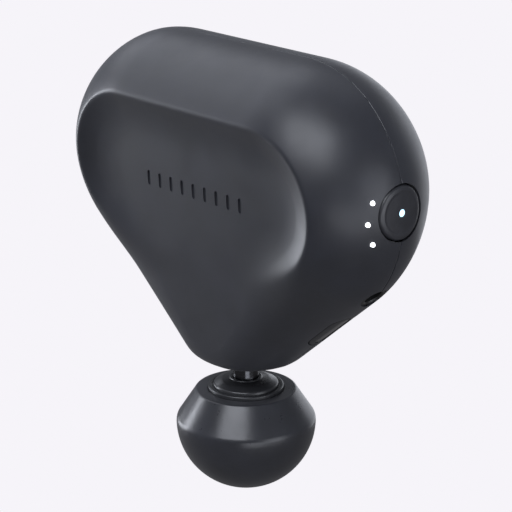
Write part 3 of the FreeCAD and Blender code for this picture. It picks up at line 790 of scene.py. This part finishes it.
def point_set(name, points, ways):
    """Loose points given in millimetres, each with the way it faces."""
    mesh = bpy.data.meshes.new(name)
    mesh.from_pydata([tuple(c * MM for c in p) for p in points], [], [])
    layer = mesh.attributes.new("way", "FLOAT_VECTOR", "POINT")
    layer.data.foreach_set("vector", np.array(ways, dtype=np.float32).ravel())
    return mesh_object(name, mesh)


def gauge():
    """Frame let into the lower right flank, and its dark window, both rounded across like the flank."""
    place = flank_frame(GAUGE_TURN, GAUGE_X, GAUGE_Z)
    frame_ob = rounded_slab("gauge_bezel_ring", 9.75, 4.75, -1.15, 0.0, 0.22, place, hole=(8.5, 2.0))
    window = rounded_slab("gauge_window_lens", 8.42, 1.92, -1.0, -0.22, 0.15, place)
    return frame_ob, window


def rounded_slab(name, half_length, half_width, low, high, edge, place, hole=None):
    """Round-ended slab with a softened top edge, its top following the flank; a hole makes a frame."""
    def row(length, width, h, follow):
        points = []
        for x, y in slab_outline(length, width, 20):
            fall = y * y / 30.0 if follow else 0
            points.append((x, y, h - fall))
        return points
    rows = [row(half_length, half_width, low, False)]
    for k in range(5):
        a = math.pi / 2 * k / 4
        inset = edge * (1 - math.cos(a))
        rows.append(row(half_length - inset, half_width - inset, high - edge + edge * math.sin(a), True))
    if hole:
        for k in range(5):
            a = math.pi / 2 * (4 - k) / 4
            inset = edge * (1 - math.cos(a))
            rows.append(row(hole[0] + inset, hole[1] + inset, high - edge + edge * math.sin(a), True))
        rows.append(row(hole[0], hole[1], low, False))
    else:
        for f in (0.75, 0.5, 0.25):
            rows.append(row(half_length - half_width * (1 - f), half_width * f, high, True))
    bm = bmesh.new()
    made = [[bm.verts.new((x * MM, y * MM, h * MM)) for x, y, h in r] for r in rows]
    count = len(made[0])
    pairs = list(zip(made, made[1:]))
    if hole:
        pairs.append((made[-1], made[0]))
    for a, b in pairs:
        for k in range(count):
            n = (k + 1) % count
            bm.faces.new((a[k], a[n], b[n], b[k]))
    if not hole:
        bm.faces.new(made[0])
        bm.faces.new(made[-1])
    bm.transform(place)
    tidy_normals(bm)
    ob = from_bmesh(name, bm)
    smooth(ob, 40)
    return ob


def charge_jack():
    """Round socket with a chamfered mouth, a wider chamber behind it and a closed back."""
    turn = math.radians(JACK_TURN)
    out = Vector((math.cos(turn), 0, math.sin(turn)))
    rim = Vector((LOBE_X, 0, LOBE_Z)) + out * (LOBE_R - 0.6)
    path = rounded(((JACK_R, -10, 0), (JACK_R, -0.02, 0.35), (3.25, -0.02, 0.1), (JACK_BORE_R, -0.45, 0.1),
                    (JACK_BORE_R, -3, 0), (3.4, -3, 0), (3.4, -9, 0), (1.0, -9, 0), (1.0, -10, 0)), 4)
    return turned("charge_jack_socket", path, 96, along(out, rim), loop=True)


def screw_plug_set():
    """Soft plugs over the casing screws, lying just under the rear face."""
    bm = bmesh.new()
    for x0, z0 in CASE_SCREWS:
        rings = []
        for r, h in ((0, 0), (0.9, 0), (1.8, 0), (2.3, -0.02), (2.48, -0.12), (2.54, -0.3), (2.54, -3.0),
                     (0, -3.0)):
            ring = []
            for k in range(48 if r > 0 else 1):
                a = 2 * math.pi * k / 48
                x, z = x0 + r * math.cos(a), z0 + r * math.sin(a)
                top = rear_height(x, z) - 0.12
                y = top + h if h > -3 else 14.9
                ring.append(bm.verts.new((x * MM, y * MM, z * MM)))
            rings.append(ring)
        for low, high in zip(rings, rings[1:]):
            for k in range(48):
                n = (k + 1) % 48
                if len(low) == 1:
                    bm.faces.new((low[0], high[k], high[n]))
                elif len(high) == 1:
                    bm.faces.new((low[k], low[n], high[0]))
                else:
                    bm.faces.new((low[k], low[n], high[n], high[k]))
    tidy_normals(bm)
    ob = from_bmesh("screw_plug_set", bm)
    smooth(ob, 40)
    return ob


def rear_height(x, z):
    """Casing's face at a point, measured from the seam in millimetres."""
    point = np.array(((x, z),))
    side = climb_at(point)[0] * half_thickness(z) + SEAM_HALF
    rim = lobed_depth(point, DISH_X, DISH_Z, DISH_R, DISH_NOSE_Z, DISH_NOSE_R)[0]
    near = max(DISH_WIDTH - rim, 0) / DISH_WIDTH
    fade = min(max((FADE_TOP - z) / FADE_RUN, 0), 1)
    fade = fade * fade * (3 - 2 * fade)
    softness = RIM_SOFTNESS + fade * FADE_SOFTNESS
    dish = DISH_TOP_Y - (DISH_TOP_Z - z) * DISH_SLOPE + near * near * (1 - fade) * DISH_RISE
    gap = max(softness - abs(side - dish), 0) / softness
    return min(side, dish) - gap ** 3 * softness / 6


# ---- Shaft and ball head ----

def output_shaft():
    """Turned stem with the groove that holds the ball, and the two-eared clevis for the wrist pin."""
    path = rounded(((0, SHAFT_END, 0), (3.7, SHAFT_END, 0), (SHAFT_R, SHAFT_END + 0.5, 0),
                    (SHAFT_R, 23.2, 0), (3.5, 23.2, 0), (3.5, 24.8, 0), (SHAFT_R, 24.8, 0),
                    (SHAFT_R, SHAFT_TOP, 0), (0, SHAFT_TOP, 0)), 4)
    stem = turned("output_shaft_stem", path, 96)
    bm = bmesh.new()
    bmesh.ops.create_cube(bm, size=1, matrix=Matrix.Translation((0, 0, 71.25 * MM)) @ Matrix.Diagonal(
        (10 * MM, 9.2 * MM, 3.5 * MM, 1)))
    bmesh.ops.bevel(bm, geom=bm.edges[:], offset=0.4 * MM, segments=3, profile=0.5, affect="EDGES")
    foot = from_bmesh("clevis_foot", bm)
    ears = [clevis_ear(y) for y in (-3.5, 3.5)]
    for part in [foot] + ears:
        smooth(part)
    return merged("output_shaft_clevis", [stem, foot] + ears)


def clevis_ear(y):
    """Round-topped plate with the wrist pin's bore."""
    outline = [(-5, 72.6), (5, 72.6)]
    outline += [(5 * math.cos(math.pi * k / 24), WRIST_Z + 5 * math.sin(math.pi * k / 24)) for k in range(25)]
    bm = bmesh.new()
    front = [bm.verts.new((x * MM, (y - 1.1) * MM, z * MM)) for x, z in outline]
    back = [bm.verts.new((x * MM, (y + 1.1) * MM, z * MM)) for x, z in outline]
    for k in range(len(outline)):
        n = (k + 1) % len(outline)
        bm.faces.new((front[k], front[n], back[n], back[k]))
    bm.faces.new(front)
    bm.faces.new(back)
    tidy_normals(bm)
    ear = from_bmesh("ear", bm)
    cut(ear, [cylinder_cutter("bore", 2.0, (0, y - 3, WRIST_Z), (0, 1, 0), 6, 48)])
    return ear


def merged(name, parts):
    """One object made of several closed solids."""
    bm = bmesh.new()
    for part in parts:
        bm.from_mesh(part.data)
        bpy.data.objects.remove(part)
    ob = from_bmesh(name, bm)
    smooth(ob)
    return ob


def ball_cover():
    """Foam ball: round below its soft belt crease, a cone above it, and a flat top round the socket."""
    path = [(0, 0)]
    for k in range(1, 49):
        a = -math.pi / 2 + math.radians(88.5) * k / 48
        path.append((BALL_R * math.cos(a), BALL_R + BALL_R * math.sin(a)))
    upper = rounded(((BALL_R - 0.05, 21.2, 0), (BALL_R - 0.05, 22.9, 3.2), (15.7, BALL_FLAT_Z, 0.8),
                     (12.1, BALL_FLAT_Z, 0.2), (11.9, BALL_FLAT_Z - 0.4, 0.1), (8.0, BALL_FLAT_Z - 0.4, 0),
                     (8.0, 14.0, 0), (0, 14.0, 0)), 10)
    return turned("ball_cover", path + upper[1:], 160)


def ball_socket():
    """Hard socket: rim ring, groove, low dome and neck collar round the shaft bore."""
    lip = BALL_FLAT_Z
    path = rounded(((4.16, 18.0, 0), (4.16, lip + 3.9, 0.2), (4.95, lip + 3.9, 0.3), (5.15, lip + 3.45, 0.35),
                    (7.6, lip + 3.05, 4), (10.1, lip + 1.95, 0.8), (10.3, lip + 0.7, 0.12),
                    (10.75, lip + 0.7, 0.12),
                    (10.8, lip + 1.2, 0.3), (RING_OUTER, lip + 1.2, 0.45), (RING_OUTER, lip - 0.38, 0),
                    (7.98, lip - 0.38, 0), (7.98, 14.02, 0), (4.16, 14.02, 0)), 6)
    return turned("ball_socket", path, 144, loop=True)


RING_OUTER = 11.85


# ---- Stage ----

def stage_floor(mat):
    """Wide plain floor, staged under the gun."""
    bm = bmesh.new()
    bmesh.ops.create_grid(bm, x_segments=2, y_segments=2, size=6.0)
    bmesh.ops.translate(bm, verts=bm.verts, vec=(0, 0, FLOOR_Z))
    floor = from_bmesh("studio_floor", bm)
    paint(floor, mat)


def floor_finish():
    """Pale sweep, plain to the eye and gentler as a bounce light."""
    mat = bpy.data.materials.new("pale_sweep")
    mat.use_nodes = True
    nodes, links = mat.node_tree.nodes, mat.node_tree.links
    nodes.clear()
    seen = nodes.new("ShaderNodeEmission")
    seen.inputs["Color"].default_value = (*BACKDROP, 1)
    bounce = nodes.new("ShaderNodeEmission")
    bounce.inputs["Color"].default_value = (*BACKDROP, 1)
    bounce.inputs["Strength"].default_value = FLOOR_BOUNCE
    path = nodes.new("ShaderNodeLightPath")
    mix = nodes.new("ShaderNodeMixShader")
    out = nodes.new("ShaderNodeOutputMaterial")
    links.new(path.outputs["Is Camera Ray"], mix.inputs[0])
    links.new(bounce.outputs[0], mix.inputs[1])
    links.new(seen.outputs[0], mix.inputs[2])
    links.new(mix.outputs[0], out.inputs[0])
    return mat


def studio_world():
    """Pale backdrop to the eye, with a dimmer cool fill for the surfaces."""
    world = bpy.data.worlds.new("studio")
    bpy.context.scene.world = world
    world.use_nodes = True
    nodes, links = world.node_tree.nodes, world.node_tree.links
    seen = nodes["Background"]
    seen.inputs["Color"].default_value = (*BACKDROP, 1)
    fill = nodes.new("ShaderNodeBackground")
    fill.inputs["Color"].default_value = (*ROOM_COLOUR, 1)
    fill.inputs["Strength"].default_value = ROOM_FILL
    path = nodes.new("ShaderNodeLightPath")
    mix = nodes.new("ShaderNodeMixShader")
    links.new(path.outputs["Is Camera Ray"], mix.inputs[0])
    links.new(fill.outputs[0], mix.inputs[1])
    links.new(seen.outputs[0], mix.inputs[2])
    links.new(mix.outputs[0], nodes["World Output"].inputs[0])


def soft_box(name, place, aim, size, watts):
    """Cool rectangular light turned to face its aim, hidden from the camera."""
    lamp = bpy.data.lights.new(name, "AREA")
    lamp.shape = "RECTANGLE"
    lamp.size, lamp.size_y = size
    lamp.energy = watts
    lamp.color = COOL
    ob = bpy.data.objects.new(name, lamp)
    bpy.context.scene.collection.objects.link(ob)
    ob.location = place
    ob.rotation_mode = "QUATERNION"
    ob.rotation_quaternion = (Vector(aim) - Vector(place)).to_track_quat("-Z", "Y")
    ob.visible_camera = False


def camera():
    """Long lens a little above the gun, looking at its front and its button side."""
    azimuth, elevation, roll = math.radians(AZIMUTH), math.radians(ELEVATION), math.radians(ROLL)
    back = Vector((math.sin(azimuth) * math.cos(elevation), -math.cos(azimuth) * math.cos(elevation),
                   math.sin(elevation)))
    right = Vector((math.cos(azimuth), math.sin(azimuth), 0))
    up = back.cross(right)
    turned_right = right * math.cos(roll) + up * math.sin(roll)
    turned_up = up * math.cos(roll) - right * math.sin(roll)
    data = bpy.data.cameras.new("camera")
    data.sensor_width = FILM
    data.lens = LENS
    data.shift_x = SHIFT_RIGHT
    data.shift_y = SHIFT_UP
    data.clip_start, data.clip_end = 0.01, 50
    ob = bpy.data.objects.new("camera", data)
    bpy.context.scene.collection.objects.link(ob)
    ob.rotation_mode = "QUATERNION"
    ob.rotation_quaternion = Matrix((turned_right, turned_up, back)).transposed().to_quaternion()
    ob.location = Vector((0, 0, LOOK_HEIGHT)) + back * DISTANCE
    bpy.context.scene.camera = ob


# ---- Assembly ----

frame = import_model()
scene = bpy.context.scene
scene.view_settings.view_transform = "Standard"
camera()
studio_world()
stage_floor(floor_finish())

casing_form = casing_tree()
turn = math.radians(LIGHT_TURN)
light_way = Vector((math.cos(turn), math.sin(turn), 0))
light_cutters = [cylinder_cutter("light", LIGHT_R + 0.03, Vector(spot) - light_way * 6, light_way, 12, 40)
                 for spot in LIGHTS]
front = casing_half("casing_front", -1, FINISHES["casing"], tick_cutters() + light_cutters)
plug_cutters = [cylinder_cutter("plug", PLUG_R, (x, 12, z), (0, 1, 0), 20, 64) for x, z in CASE_SCREWS]
rear = casing_half("casing_rear", 1, FINISHES["casing"], plug_cutters)

cap = power_button()
paint(cap, FINISHES["button"])
lens_path = rounded(((0, -1.4, 0), (1.08, -1.4, 0), (1.08, -0.55, 0.2), (0, -0.45, 0)), 5)
lens = turned("button_light", lens_path, 48, along((1, 0, 0), (LOBE_X + LOBE_R - BUTTON_SINK, 0, BUTTON_Z)))
paint(lens, glow("button_glow", (0.45, 0.78, 1.0), 1.5, (0.7, 0.82, 0.95)))
lights = grow(point_set("speed_light_lenses", LIGHTS, [light_way] * 3), light_tree(),
              glow("speed_glow", (0.95, 0.97, 1.0), 2.5, (0.85, 0.87, 0.9)))
bezel, window = gauge()
paint(bezel, FINISHES["bezel"])
paint(window, FINISHES["window"])
jack = charge_jack()
paint(jack, FINISHES["jack"])
plugs = screw_plug_set()
paint(plugs, FINISHES["plug"])
seal_path = rounded(((4.45, 45.4, 0), (4.45, 43.3, 0.5), (5.4, 43.0, 0.5), (7.6, 43.2, 0.5),
                     (8.46, 43.3, 0.2), (8.46, 45.4, 0)), 5)
seal = turned("nose_seal_ring", seal_path, 96, loop=True)
paint(seal, FINISHES["rubber"])
shaft = output_shaft()
paint(shaft, FINISHES["shaft"])
cover = ball_cover()
paint(cover, FINISHES["foam"])
socket = ball_socket()
paint(socket, FINISHES["core"])

PLACES = (
    (front, "housing", "casing_front", ("front_shell",)),
    (rear, "housing", "casing_rear", ("rear_shell",)),
    (cap, "button", "button_cap", ("power_button",)),
    (lens, "button", "button_light", ("button_lens",)),
    (lights, "housing", "light_white", ("speed_lights",)),
    (bezel, "housing", "bezel_black", ("gauge_bezel",)),
    (window, "housing", "window_gloss", ("gauge_window",)),
    (jack, "housing", "socket_black", ("charge_jack",)),
    (plugs, "housing", "soft_plug", ("screw_plugs",)),
    (seal, "housing", "rubber", ("nose_seal",)),
    (shaft, "piston", "shaft_dark", ("output_shaft",)),
    (cover, "ball_head", "ball_foam", ("ball_foam",)),
    (socket, "ball_head", "ball_core", ("ball_core",)),
)
for piece, body, slot_name, nodes in PLACES:
    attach(piece, body)
    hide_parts(*nodes)
for node_name, node in frame["nodes"].items():
    label = SAME_FINISH.get(node_name, node_name)
    if label in INNER_FINISHES:
        for k in range(len(node.material_slots)):
            node.material_slots[k].material = INNER_FINISHES[label]

for name, place, aim, size, watts in SOFT_BOXES:
    soft_box(name, place, aim, size, watts)
